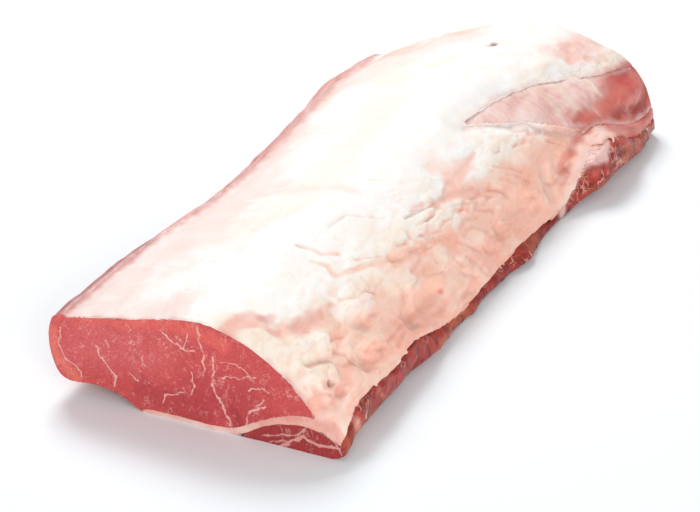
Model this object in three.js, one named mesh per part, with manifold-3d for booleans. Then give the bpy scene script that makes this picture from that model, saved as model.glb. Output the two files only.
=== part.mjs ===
// A raw boneless pork loin: a long slab of lean under a cover of white fat, sliced square at one end.
// Millimetres. +X runs along the loin away from the sliced face, +Y to the flank side, +Z up.
// The cross-section is one closed outline, drawn at the sliced face and stretched along the loin. It is
// shared by three bodies that lie side by side with a thin gap: the eye of lean, the fat that wraps it
// on top, round the thin edge and along the seam below, and the chain muscle under that seam.

import * as THREE from "three";
import Module from "manifold-3d";

// Driving dimensions
const LENGTH = 394;
const GAP = 0.35; // clear space between neighbouring bodies
const STATIONS = 42; // steps between cross-sections along the loin
const SEAM = 2.6; // thickness of the fat seam between the eye and the chain muscle
const FOOT = 2.2; // thickness of the fat under the eye
const CORNER_LEAN = 0.8; // how far the thin side leans in for each step up
const FACE_BULGE = 1.5; // how far the cut faces swell at their middle
const MIDDLE_LIFT = 1.25; // raises that middle, so that the whole outline is in plain sight from it
const THIN_COVER = 1.7; // thickness of the cover round the place where it is trimmed away
const THIN_REACH = 18; // how far from the trimmed place the cover starts to thin down to that
const ROUGHNESS = 0.9; // height of the soft unevenness of the cover

// Steps along the parts of each outline
const TOP_STEPS = 22;
const RIM_STEPS = 3;
const SEAM_STEPS = 6;
const FOOT_STEPS = 4;
const FLANK_STEPS = 14;
const CHAIN_EDGE_STEPS = 4;
const CHAIN_FOOT_STEPS = 5;

// A smooth curve through [position, value] pairs, level beyond its ends.
function profile(knots) {
  const slopes = knots.map((_, i) => {
    const before = knots[Math.max(i - 1, 0)];
    const after = knots[Math.min(i + 1, knots.length - 1)];
    return (after[1] - before[1]) / (after[0] - before[0]);
  });
  return (at) => {
    if (at <= knots[0][0]) return knots[0][1];
    const i = knots.findIndex(([position]) => at <= position);
    if (i < 0) return knots[knots.length - 1][1];
    const [x0, y0] = knots[i - 1];
    const [x1, y1] = knots[i];
    const run = x1 - x0;
    const t = (at - x0) / run;
    const ease = t * t * (3 - 2 * t);
    const pull = t * (1 - t) * run;
    return y0 + (y1 - y0) * ease + pull * ((1 - t) * slopes[i - 1] - t * slopes[i]);
  };
}

// How the outline changes along the loin, against the share of its length from the sliced face.
const flankEdge = profile([
  [0, 77.5], [0.1, 77], [0.2, 74.5], [0.3, 69], [0.41, 66],
  [0.54, 67.5], [0.62, 69], [0.7, 71], [0.8, 75], [1, 74],
]);
const thinEdge = profile([
  [0, -77.5], [0.1, -76.5], [0.3, -74.5], [0.65, -75], [0.73, -78], [0.8, -84], [0.92, -87], [1, -82.5],
]);
const height = profile([
  [0, 1], [0.3, 1.02], [0.6, 1.04], [0.8, 1.02], [0.93, 0.95], [0.97, 0.94], [0.99, 0.92], [1, 0.89],
]);
const sideReach = profile([[0.78, 0.865], [0.88, 0.9], [1, 0.935]]); // share of the width to the side
const sideFall = profile([[0.78, 0], [0.88, 3], [1, 2]]);
const flankLift = profile([[0, 1], [0.15, 0.7], [0.5, 0.35], [1, 0.3]]);
const hemHeight = profile([
  [0, 5], [0.03, 14], [0.06, 19], [0.12, 17.5], [0.16, 15], [0.22, 18], [0.26, 14],
  [0.31, 8.5], [0.38, 5], [0.43, 7], [0.49, 6], [0.54, 8], [0.61, 6], [0.67, 4],
  [0.7, 5], [0.745, 18], [0.8, 24], [0.83, 24], [0.86, 20], [0.9, 14], [1, 9],
]);
const cornerRise = profile([[0.6, 6], [0.72, 4.5], [0.8, 3.5]]); // from the hem up to the eye's corner
const cornerFloor = profile([[0.6, 22], [0.7, 19], [0.8, 14], [0.9, 9]]);
const chainRise = profile([[0, 24], [0.2, 22], [0.5, 20], [0.7, 24], [0.8, 32], [0.86, 27], [1, 14]]);
const chainLump = profile([
  [0, 0], [0.2, 0], [0.26, 3], [0.32, 1], [0.45, 1.5], [0.5, 2.5],
  [0.56, 5.5], [0.63, 1.5], [0.68, 1], [0.78, 3], [0.85, 0],
]);
const coverGrowth = profile([[0, 1], [0.2, 1.3], [0.7, 1.3], [1, 1]]);
// How thick the cover is, against the share of its way round from its flank edge to the corner.
const coverThickness = profile([[0, 1.8], [0.2, 2], [0.5, 2.8], [0.7, 4.6], [0.9, 6.4], [1, 6.4]]);
// How far the far end stands back, against the distance from the middle line.
const farEnd = profile([
  [-88, -8], [-70, 1], [-50, 7], [-30, 5], [0, -1], [25, -9], [45, -26], [65, -52], [78, -66],
]);

// The outline at the sliced face, from the flank edge over the top and back along the bottom:
// name, share of the width from the flank edge, height.
const OUTLINE = [
  ["fatEdge", 0.055, 43],
  ["shoulder", 0.19, 47.5],
  ["slope", 0.35, 52.8],
  ["crown", 0.5, 58.3],
  ["fall", 0.63, 56],
  ["drop", 0.755, 48.5],
  ["side", 0.865, 37],
  ["corner", 0.945, 22],
  ["hem", 0.99, 5],
  ["toe", 0.993, 2.5],
  ["base", 0.95, 0],
  ["seam", 0.65, 0],
  ["foot", 0.32, 0],
  ["undercut", 0.25, 6.8],
  ["belly", 0.15, 9],
  ["flankFoot", 0.045, 8.2],
  ["flankLow", 0.008, 18],
  ["flankMid", 0, 30],
  ["flankTop", 0.018, 40.5],
];
const UNDER = ["undercut", "belly", "flankFoot"];

// Where the cover is trimmed away near the far end: seen from above, and on the thin side seen level.
const TRIM_TOP = [
  [243, -26], [272, -29], [296, -33], [316, -39], [335, -46], [365, -57], [400, -66], [440, -72],
  [440, -140], [322, -140], [322, -69], [309, -63], [297, -56], [281, -45], [263, -36],
];
const TRIM_SIDE = [
  [283, 19], [292, 24], [307, 28.5], [322, 31.7], [440, 31.7], [440, 14.5], [394, 14.5],
  [375, 16.5], [355, 20], [340, 25], [330, 28], [318, 28], [307, 27], [297, 23.5], [288, 19],
];
const TRIM_TURN = 322; // how far along the top trim turns down over the thin side
const TRIM_FLOOR = 31.5; // height of its floor up to there
const TRIM_FALL = 0.12; // and how much the floor falls for each step along the loin from there
const TRIM_DEPTH = -67; // the side trim stays outside this distance from the middle line

// Broad swells and hollows of the cover: place along the loin, side of the middle line, reach, height.
const SWELLS = [
  [30, -32, 12, -1.5], [18, -46, 10, 1.4], [48, -52, 14, -1.3], [66, -38, 12, 1.3], [88, -16, 14, -1.1],
  [104, -48, 13, 1.2], [128, -30, 12, -1.1], [132, -66, 11, -1.2], [160, -52, 13, 1.2],
  [184, -47, 13, -1.4], [206, -64, 14, 1], [232, -20, 16, 0.9], [286, 4, 20, 1], [339, -3, 9, -1.5],
  [352, 28, 18, 0.8], [60, 24, 22, 0.8], [120, 30, 24, -0.6], [190, 26, 24, 0.7],
];

// One cross-section: its outline as a closed curve, and the places of its named points.
class Section {
  constructor(share) {
    this.share = share;
    const left = flankEdge(share);
    const width = left - thinEdge(share);
    const hem = hemHeight(share);
    const corner = Math.max(cornerFloor(share), hem + cornerRise(share));
    this.points = OUTLINE.map(([name, across, up]) => {
      let z = up * height(share);
      let out = across * width;
      if (UNDER.includes(name)) z = up * flankLift(share);
      if (name === "side") {
        z -= sideFall(share);
        out = sideReach(share) * width;
      }
      if (name === "hem") z = hem;
      if (name === "toe") z = 0.4 * hem;
      if (name === "toe" || name === "base") out += chainLump(share);
      if (name === "corner") {
        z = corner;
        out -= CORNER_LEAN * (corner - 22);
      }
      return new THREE.Vector3(0, left - out, z);
    });
    this.curve = new THREE.CatmullRomCurve3(this.points, true, "centripetal");
    this.left = left;
    this.width = width;
  }

  at(name) {
    return this.points[OUTLINE.findIndex((p) => p[0] === name)];
  }

  // Points along the outline from one named point to another, evenly spaced.
  arc(from, to, steps) {
    const start = OUTLINE.findIndex((p) => p[0] === from);
    let end = OUTLINE.findIndex((p) => p[0] === to);
    if (end <= start) end += OUTLINE.length;
    const fine = [];
    const samples = 12 * (end - start);
    for (let i = 0; i <= samples; i++) {
      const t = (start + ((end - start) * i) / samples) / OUTLINE.length;
      const p = this.curve.getPoint(t % 1);
      fine.push(new THREE.Vector2(p.y, Math.max(p.z, 0)));
    }
    return spaced(fine, steps);
  }
}

// A polyline laid out again with equal steps.
function spaced(line, steps) {
  const run = [0];
  for (let i = 1; i < line.length; i++) run.push(run[i - 1] + line[i].distanceTo(line[i - 1]));
  const points = [];
  let k = 1;
  for (let i = 0; i <= steps; i++) {
    const at = (run[run.length - 1] * i) / steps;
    while (k < run.length - 1 && run[k] < at) k++;
    const t = (at - run[k - 1]) / (run[k] - run[k - 1] || 1);
    points.push(line[k - 1].clone().lerp(line[k], t));
  }
  return points;
}

// A polyline moved sideways, to the left of its direction for a positive distance.
function moved(line, distance) {
  const normal = (a, b) => new THREE.Vector2(a.y - b.y, b.x - a.x).normalize();
  return line.map((p, i) => {
    const before = i > 0 ? normal(line[i - 1], p) : null;
    const after = i < line.length - 1 ? normal(p, line[i + 1]) : null;
    if (!before || !after) return p.clone().addScaledVector(before || after, distance);
    const middle = before.clone().add(after).normalize();
    return p.clone().addScaledVector(middle, distance / Math.max(middle.dot(after), 0.5));
  });
}

// Height of a line of points at a distance from the middle line.
function heightOn(line, x) {
  const i = Math.max(line.findIndex((p) => p.x >= x), 1);
  const t = (x - line[i - 1].x) / (line[i].x - line[i - 1].x);
  return THREE.MathUtils.lerp(line[i - 1].y, line[i].y, t);
}

// The three bodies' outlines at one cross-section, each counterclockwise as seen from the far end.
function outlines(section) {
  const across = (share, z) => new THREE.Vector2(section.left - share * section.width, z);
  const growth = coverGrowth(section.share);
  const point = (name) => new THREE.Vector2(section.at(name).y, section.at(name).z);

  const smooth = section.arc("fatEdge", "corner", TOP_STEPS);
  const top = uneven(section.share, smooth);
  const rim = section.arc("corner", "hem", RIM_STEPS).slice(1);
  const underCover = smooth
    .filter((_, i) => i % 2 === 0)
    .map((p, i, line) => {
      const ahead = line[Math.min(i + 1, line.length - 1)];
      const behind = line[Math.max(i - 1, 0)];
      const inward = new THREE.Vector2(behind.y - ahead.y, ahead.x - behind.x).normalize();
      const full = growth * coverThickness(i / (line.length - 1));
      const outside = outsideTrim(along(section.share, p.x), p.x);
      const away = THREE.MathUtils.smoothstep(outside, 0, THIN_REACH);
      const thin = Math.min(THIN_COVER, full);
      return p.clone().addScaledVector(inward, THREE.MathUtils.lerp(thin, full, away));
    });
  const tip = underCover[underCover.length - 1];

  const rise = chainRise(section.share);
  const seamFoot = point("seam");
  const bow = (from, over, to) => new THREE.QuadraticBezierCurve(from, over, to).getPoints(SEAM_STEPS);
  const seamBelow = bow(point("hem"), across(0.826, rise), seamFoot);
  tip.y = Math.max(tip.y, heightOn(seamBelow, tip.x) + SEAM);
  const bend = rise + 2 * (SEAM + 0.2) + 0.5 * (point("hem").y - tip.y) - 0.5 * FOOT;
  const seamAbove = bow(tip, across(0.82, bend), across(0.63, FOOT));
  const footBelow = section.arc("seam", "foot", FOOT_STEPS);
  const footAbove = spaced([across(0.63, FOOT), across(0.33, FOOT)], FOOT_STEPS);

  const footing = [...footAbove.slice(1), footBelow[FOOT_STEPS]];
  const inside = [top[0], ...underCover, ...seamAbove.slice(1), ...footing];
  const back = inside.slice(1, -1).reverse();
  const flank = section.arc("foot", "fatEdge", FLANK_STEPS).slice(1, -1);
  const chainTop = moved(seamBelow, -GAP).slice(0, -1);
  const chainEdge = section.arc("hem", "base", CHAIN_EDGE_STEPS).slice(1);
  const chainFoot = section.arc("base", "seam", CHAIN_FOOT_STEPS).slice(1, -1);
  const chainTip = new THREE.Vector2(seamFoot.x - 2 * GAP, 0);
  return {
    fat: [...top, ...rim, ...seamBelow.slice(1), ...footBelow.slice(1), ...back],
    eye: [...moved(inside, GAP), ...flank],
    chain: [chainTop[0], ...chainEdge, ...chainFoot, chainTip, ...chainTop.slice(1).reverse()],
  };
}

// A point of a cross-section in its place along the loin.
function placed(share, p) {
  return new THREE.Vector3(along(share, p.x), p.x, p.y);
}

function along(share, y) {
  return share * LENGTH + farEnd(y) * share ** 3;
}

// How far a place seen from above lies outside the trimmed place, less than nothing inside it.
function outsideTrim(x, y) {
  let inside = false;
  let nearest = Infinity;
  TRIM_TOP.forEach(([x0, y0], i) => {
    const [x1, y1] = TRIM_TOP[(i + 1) % TRIM_TOP.length];
    if (y0 > y !== y1 > y && x < x0 + ((x1 - x0) * (y - y0)) / (y1 - y0)) inside = !inside;
    const edge = new THREE.Line3(new THREE.Vector3(x0, y0, 0), new THREE.Vector3(x1, y1, 0));
    const place = new THREE.Vector3(x, y, 0);
    const closest = edge.closestPointToPoint(place, true, new THREE.Vector3());
    nearest = Math.min(nearest, closest.distanceTo(place));
  });
  return inside ? -nearest : nearest;
}

// Height of the cover's unevenness at a place seen from above.
function relief(x, y) {
  const waves = Math.sin(x / 9 + 2 * Math.sin(y / 17)) * Math.sin(y / 11 + 1.5 * Math.sin(x / 23));
  let lift = ROUGHNESS * 0.5 * waves;
  for (const [x0, y0, reach, rise] of SWELLS) {
    lift += rise * Math.exp(-((x - x0) ** 2 + (y - y0) ** 2) / reach ** 2);
  }
  return lift;
}

// A line over the cover pushed out by its unevenness, less and less towards the ends of the line.
function uneven(share, line) {
  return line.map((p, i) => {
    const ends = Math.min(i, line.length - 1 - i) / 3;
    const ahead = line[Math.min(i + 1, line.length - 1)];
    const behind = line[Math.max(i - 1, 0)];
    const outward = new THREE.Vector2(ahead.y - behind.y, behind.x - ahead.x).normalize();
    return p.clone().addScaledVector(outward, Math.min(ends, 1) * relief(along(share, p.x), p.x));
  });
}

// A closed mesh from loops of points, with both ends closed by cap(loop, end).
function loft(loops, cap) {
  const size = loops[0].length;
  const points = loops.flat();
  const faces = [];
  for (let i = 0; i < loops.length - 1; i++) {
    for (let j = 0; j < size; j++) {
      const a = i * size + j;
      const b = i * size + ((j + 1) % size);
      const [c, d] = [b + size, a + size];
      const short = points[a].distanceTo(points[c]) <= points[b].distanceTo(points[d]);
      if (short) faces.push([a, b, c], [a, c, d]);
      else faces.push([a, b, d], [b, c, d]);
    }
  }
  const ring = [...Array(size).keys()];
  cap(points, ring, faces, -1);
  cap(points, ring.map((j) => (loops.length - 1) * size + j), faces, 1);
  const places = points.flatMap((p) => p.toArray());
  const geometry = new THREE.BufferGeometry();
  geometry.setAttribute("position", new THREE.Float32BufferAttribute(places, 3));
  geometry.setIndex(faces.flat());
  geometry.computeVertexNormals();
  return geometry;
}

// Faces over one end of a strip, laid zigzag between its two sides. The sides meet at the first point
// of the ring and at its point number tip.
function zigzagCap(tip) {
  return (points, ring, faces, end) => {
    const sides = [ring.slice(0, tip + 1), [ring[0], ...ring.slice(tip).reverse()]];
    const gap = (i, j) => points[sides[0][i]].distanceTo(points[sides[1][j]]);
    let [i, j] = [0, 0];
    while (i < sides[0].length - 1 || j < sides[1].length - 1) {
      const last = j === sides[1].length - 1;
      const first = last || (i < sides[0].length - 1 && gap(i + 1, j) <= gap(i, j + 1));
      const face = [sides[0][i], first ? sides[0][i + 1] : sides[1][j + 1], sides[1][j]];
      if (new Set(face).size === 3) faces.push(end > 0 ? face : face.reverse());
      if (first) i++;
      else j++;
    }
  };
}

// Faces over one end in rings that shrink to its middle and swell out of it.
function swollenCap(points, ring, faces, end) {
  const flat = ring.map((k) => new THREE.Vector2(points[k].y, points[k].z));
  const middle = flat.reduce((sum, p) => sum.add(p), new THREE.Vector2()).divideScalar(flat.length);
  middle.y *= MIDDLE_LIFT;
  const join = (a, b, c) => faces.push(end > 0 ? [a, b, c] : [c, b, a]);
  const add = (p, share) => {
    const place = placed(end > 0 ? 1 : 0, middle.clone().lerp(p, share));
    place.x += end * FACE_BULGE * (1 - share ** 2);
    return points.push(place) - 1;
  };
  let outer = ring;
  for (const share of [0.82, 0.6, 0.38, 0.18]) {
    const inner = flat.map((p) => add(p, share));
    outer.forEach((a, j) => {
      const next = (j + 1) % ring.length;
      join(a, outer[next], inner[next]);
      join(a, inner[next], inner[j]);
    });
    outer = inner;
  }
  const centre = add(middle, 0);
  outer.forEach((a, j) => join(a, outer[(j + 1) % ring.length], centre));
}

const wasm = await Module();
wasm.setup();
const { CrossSection, Manifold, Mesh } = wasm;

function solid(geometry) {
  const vertProperties = Float32Array.from(geometry.getAttribute("position").array);
  const triVerts = Uint32Array.from(geometry.getIndex().array);
  return new Manifold(new Mesh({ numProp: 3, vertProperties, triVerts }));
}

function geometryOf(body) {
  const { vertProperties, triVerts } = body.getMesh();
  const geometry = new THREE.BufferGeometry();
  geometry.setAttribute("position", new THREE.Float32BufferAttribute(vertProperties, 3));
  geometry.setIndex([...triVerts]);
  geometry.computeVertexNormals();
  return geometry;
}

// The cover without the parts trimmed from its top and from its thin side.
function trimmed(geometry) {
  const block = (outline, depth) => Manifold.extrude(new CrossSection([outline], "NonZero"), depth);
  const fromTop = block(TRIM_TOP, 60).warp((p) => {
    p[2] += TRIM_FLOOR - TRIM_FALL * Math.max(p[0] - TRIM_TURN, 0);
  });
  const fromSide = block(TRIM_SIDE, 80).rotate([90, 0, 0]).translate([0, TRIM_DEPTH, 0]);
  return geometryOf(solid(geometry).subtract(fromTop).subtract(fromSide));
}

const loops = { fat: [], eye: [], chain: [] };
const shares = [...Array(STATIONS).keys()].map((i) => i / STATIONS);
for (const share of [...shares, 0.99, 1]) {
  const shapes = outlines(new Section(share));
  for (const body in loops) loops[body].push(shapes[body].map((p) => placed(share, p)));
}

const fatTip = TOP_STEPS + RIM_STEPS + SEAM_STEPS + FOOT_STEPS;
const chainTip = CHAIN_EDGE_STEPS + CHAIN_FOOT_STEPS;
const bodies = {
  loin_eye: [loft(loops.eye, swollenCap), { color: 0xc9575a, roughness: 0.45 }],
  fat_cover: [trimmed(loft(loops.fat, zigzagCap(fatTip))), { color: 0xf6ded2, roughness: 0.5 }],
  chain_muscle: [loft(loops.chain, zigzagCap(chainTip)), { color: 0xa84338, roughness: 0.5 }],
};

const loin = new THREE.Group();
for (const [name, [geometry, look]] of Object.entries(bodies)) {
  const mesh = new THREE.Mesh(geometry, new THREE.MeshStandardMaterial({ ...look, metalness: 0 }));
  mesh.name = name;
  loin.add(mesh);
}

// The origin is the middle of the loin's box, on the surface that it lies on.
const box = new THREE.Box3().setFromObject(loin);
const centre = box.getCenter(new THREE.Vector3());
loin.position.set(-centre.x, -centre.y, -box.min.z);

export default loin;
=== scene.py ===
"""A raw boneless pork loin, sliced square across one end, lying on its broad side, its fat cover up."""
import math

import bpy
import numpy as np
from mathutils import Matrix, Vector
from mathutils.bvhtree import BVHTree
from mathutils.kdtree import KDTree


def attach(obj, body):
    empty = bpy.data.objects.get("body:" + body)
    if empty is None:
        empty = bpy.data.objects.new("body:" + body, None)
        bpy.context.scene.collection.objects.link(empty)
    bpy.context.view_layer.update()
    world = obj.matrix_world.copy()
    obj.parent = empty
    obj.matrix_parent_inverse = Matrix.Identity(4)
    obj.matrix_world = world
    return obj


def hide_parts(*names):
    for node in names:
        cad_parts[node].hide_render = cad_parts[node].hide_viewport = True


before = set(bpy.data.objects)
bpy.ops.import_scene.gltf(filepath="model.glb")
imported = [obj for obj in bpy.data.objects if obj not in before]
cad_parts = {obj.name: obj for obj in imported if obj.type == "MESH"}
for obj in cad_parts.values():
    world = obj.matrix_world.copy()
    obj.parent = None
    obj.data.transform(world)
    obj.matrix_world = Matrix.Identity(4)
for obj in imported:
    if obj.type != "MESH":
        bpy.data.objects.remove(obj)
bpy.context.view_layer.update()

# Measures in millimetres: x along the loin from its sliced face, y to the flank, z up
MM = 0.001
FACE = -200.2  # where the sliced face stands
FAR_FACE = [  # (y, x) places along the far cut
    (-80, 185), (-65, 194), (-45, 200), (-25, 199), (4, 193), (30, 184), (50, 167), (70, 141), (82, 128),
]
CORE = (5.0, 20.0)  # y and z of a line along the inside of the loin
FAT_GRAIN, EYE_GRAIN, CHAIN_GRAIN = 1.15, 1.5, 1.3  # about how wide the faces of each skin are
MERGE = 0.01  # the widest gap between corners that are made one
RIM = 42  # the angle in degrees from which an edge of a body stays sharp
CLOSE = 0.3  # how much each body swells, so that neighbours touch
EXTRA = 4.0  # how far the bodies run past both faces until they are sliced
BLADE = (200, 85)  # the width and height of the sheets that slice them
BLADE_MIDDLE = 35  # how high the middles of the sheets stand
BARE_GAP = 1.2  # the lean is bare where the cover is farther away than this
BARE_ABOVE = 8  # and where it stands higher than this
FEATHER = 14.0  # how far from the bare lean the cover starts to thin down
FILM = 0.2  # what is left of it there
LIP = 1.4  # how far the cover's edge over the side muscle is tucked in
CREASES = 80  # short creases over the thin side
CREASES_ALONG, CREASES_ACROSS = (-192, 90), (-66, -36)  # the x and the y of the field that they lie in
NEIGHBOUR = 4  # how far away a neighbour's skin is looked for
SUNK = 0.08  # how deep inside a neighbour a skin is hidden
HIDDEN_SHARE = 0.12  # the share of its faces that a hidden skin keeps
SOFT_EDGE = 50  # the angle in degrees up to which neighbouring faces are shaded as one

# Paints, as linear colours
WHITE = (0.92, 0.90, 0.875)
CREAM = (0.90, 0.77, 0.65)
BUTTER = (0.90, 0.76, 0.58)
BLUSH = (0.89, 0.64, 0.59)
SILVER = (0.92, 0.74, 0.69)
PEACH = (0.90, 0.55, 0.43)
SALMON = (0.90, 0.48, 0.37)
ROSE = (0.80, 0.38, 0.31)
CORAL = (0.63, 0.145, 0.11)
SKIN = (0.62, 0.20, 0.17)
MEAT = (0.55, 0.065, 0.065)
BRICK = (0.34, 0.035, 0.025)
RUST = (0.43, 0.10, 0.045)
EMBER = (0.60, 0.17, 0.08)
WINE = (0.18, 0.02, 0.018)
SHADE = (0.55, 0.42, 0.35)
CHERRY = (0.60, 0.095, 0.095)
CLARET = (0.45, 0.045, 0.05)
GARNET = (0.40, 0.04, 0.045)
RUBY = (0.55, 0.07, 0.07)
SCARLET = (0.70, 0.11, 0.09)
TOMATO = (0.72, 0.15, 0.11)
MAROON = (0.30, 0.02, 0.025)
PLUM = (0.34, 0.03, 0.03)
FLECK = (0.80, 0.40, 0.36)
VEIN = (0.86, 0.50, 0.45)
SHRED = (0.82, 0.48, 0.36)
THREAD = (0.82, 0.40, 0.36)

# Tints that a finish multiplies its paint by
YELLOWED = (1.0, 0.95, 0.90)
FLUSHED = (1.0, 0.90, 0.87)
# Painted shade in the fine creases
CREASE_SHADE = (0.86, 0.68, 0.58)
# Painted shade in the dents of the puckers
PUCKER_SHADE = (0.97, 0.80, 0.70)
FIBROUS = (1.0, 0.72, 0.68)
BLOTCHED = (0.82, 0.66, 0.64)
GRAINED = (1.2, 1.55, 1.55)
DEEPENED = (0.78, 0.6, 0.62)
DARKENED = (0.6, 0.42, 0.4)
SIDE_GRAINED = (1.35, 1.7, 1.7)

# Folds of the cover: places along one, its width and its depth, negative where it is raised
FOLDS = [
    ([(-198, -15, 56), (-192, -18, 56), (-186, -21, 55), (-180, -23, 54)], 5.5, 1.3),
    ([(-185, -32, 50), (-174, -36, 47), (-162, -38, 46), (-148, -41, 44)], 5.0, 1.7),
    ([(-184, -43, 45), (-176, -45, 43), (-168, -46, 41)], 3.6, -1.7),
    ([(-161, -48, 39), (-149, -49, 38), (-136, -52, 37)], 3.4, 1.2),
    ([(-190, -49, 40), (-182, -50, 40), (-172, -52, 36), (-162, -54, 33)], 2.2, 1.5),
    ([(-174, -55, 33), (-166, -56, 31), (-157, -57, 30)], 2.2, 1.3),
    ([(-146, -44, 42), (-135, -46, 42), (-122, -48, 40)], 3.6, -1.6),
    ([(-189, -55, 34), (-184, -54, 35), (-179, -56, 32), (-180, -60, 28)], 2.6, -1.7),
    ([(-187, -58, 30), (-185, -58, 30)], 1.4, 2.2),
    ([(-184, -63, 25), (-178, -62, 25)], 2.2, 1.6),
    ([(-196, -57, 32), (-197, -61, 26)], 2.4, 1.3),
    ([(-193, -52, 38)], 4.0, -1.2),
    ([(-167, -61, 25)], 4.5, -1.2),
    ([(-55, -36, 50), (-44, -38, 49), (-36, -40, 48), (-28, -40, 47)], 1.1, 1.0),
    ([(-28, -40, 47), (-16, -41, 45), (-6, -44, 43), (7, -49, 41)], 2.2, 0.9),
    ([(-23, -44, 43), (-13, -47, 41), (-1, -52, 38)], 1.8, 0.5),
    ([(-85, -44, 44), (-64, -49, 40), (-43, -53, 36), (-23, -57, 31)], 4.0, 1.3),
    ([(-96, -42, 46), (-80, -46, 43)], 3.0, 1.0),
    ([(-56, -47, 42), (-39, -52, 38)], 1.8, 0.7),
    ([(-52, -55, 33)], 4.0, -1.2),
    ([(-29, -58, 29), (-14, -59, 28)], 4.0, -1.0),
    ([(-100, -51, 38), (-85, -54, 34)], 4.0, -1.2),
    ([(-107, -64, 21), (-99, -64, 20)], 1.8, 1.1),
    ([(-52, -66, 13), (-38, -68, 9)], 1.8, 1.1),
    ([(34, -62, 22), (42, -61, 24), (49, -63, 22), (50, -65, 18), (41, -65, 16)], 1.8, 0.8),
    ([(-116, -8, 57), (-114, -15, 56), (-115, -19, 55), (-108, -26, 53)], 1.7, 0.8),
    ([(-124, -20, 55), (-122, -26, 53), (-126, -32, 51), (-112, -36, 49), (-101, -40, 47)], 1.7, 0.8),
    ([(-108, -26, 53), (-111, -31, 51), (-121, -32, 51)], 1.6, 0.6),
    ([(-92, -13, 58), (-77, -15, 57), (-64, -29, 52)], 1.5, 0.5),
    ([(-40, -10, 59), (-38, -15, 58)], 1.5, 0.5),
    ([(140, 3, 57), (142, 1, 57)], 1.6, 2.2),
]

# Folds of the thin side near the far end, which run through every body there
SIDE_FOLDS = [
    ([(125, -63, 30), (141, -65, 30), (160, -67, 30), (182, -67, 29)], 4.0, -1.3),
    ([(146, -70, 26), (158, -71, 25), (187, -72, 22)], 3.5, 1.4),
    ([(122, -68, 27), (134, -73, 24), (147, -75, 20), (164, -78, 15), (172, -79, 10)], 1.6, 0.9),
    ([(132, -82, 15), (127, -81, 16), (121, -80, 18)], 2.4, 2.4),
    ([(115, -81, 14), (109, -80, 14)], 2.4, 2.0),
    ([(98, -76, 20), (92, -75, 14), (86, -73, 8)], 2.0, 1.4),
]

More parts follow.
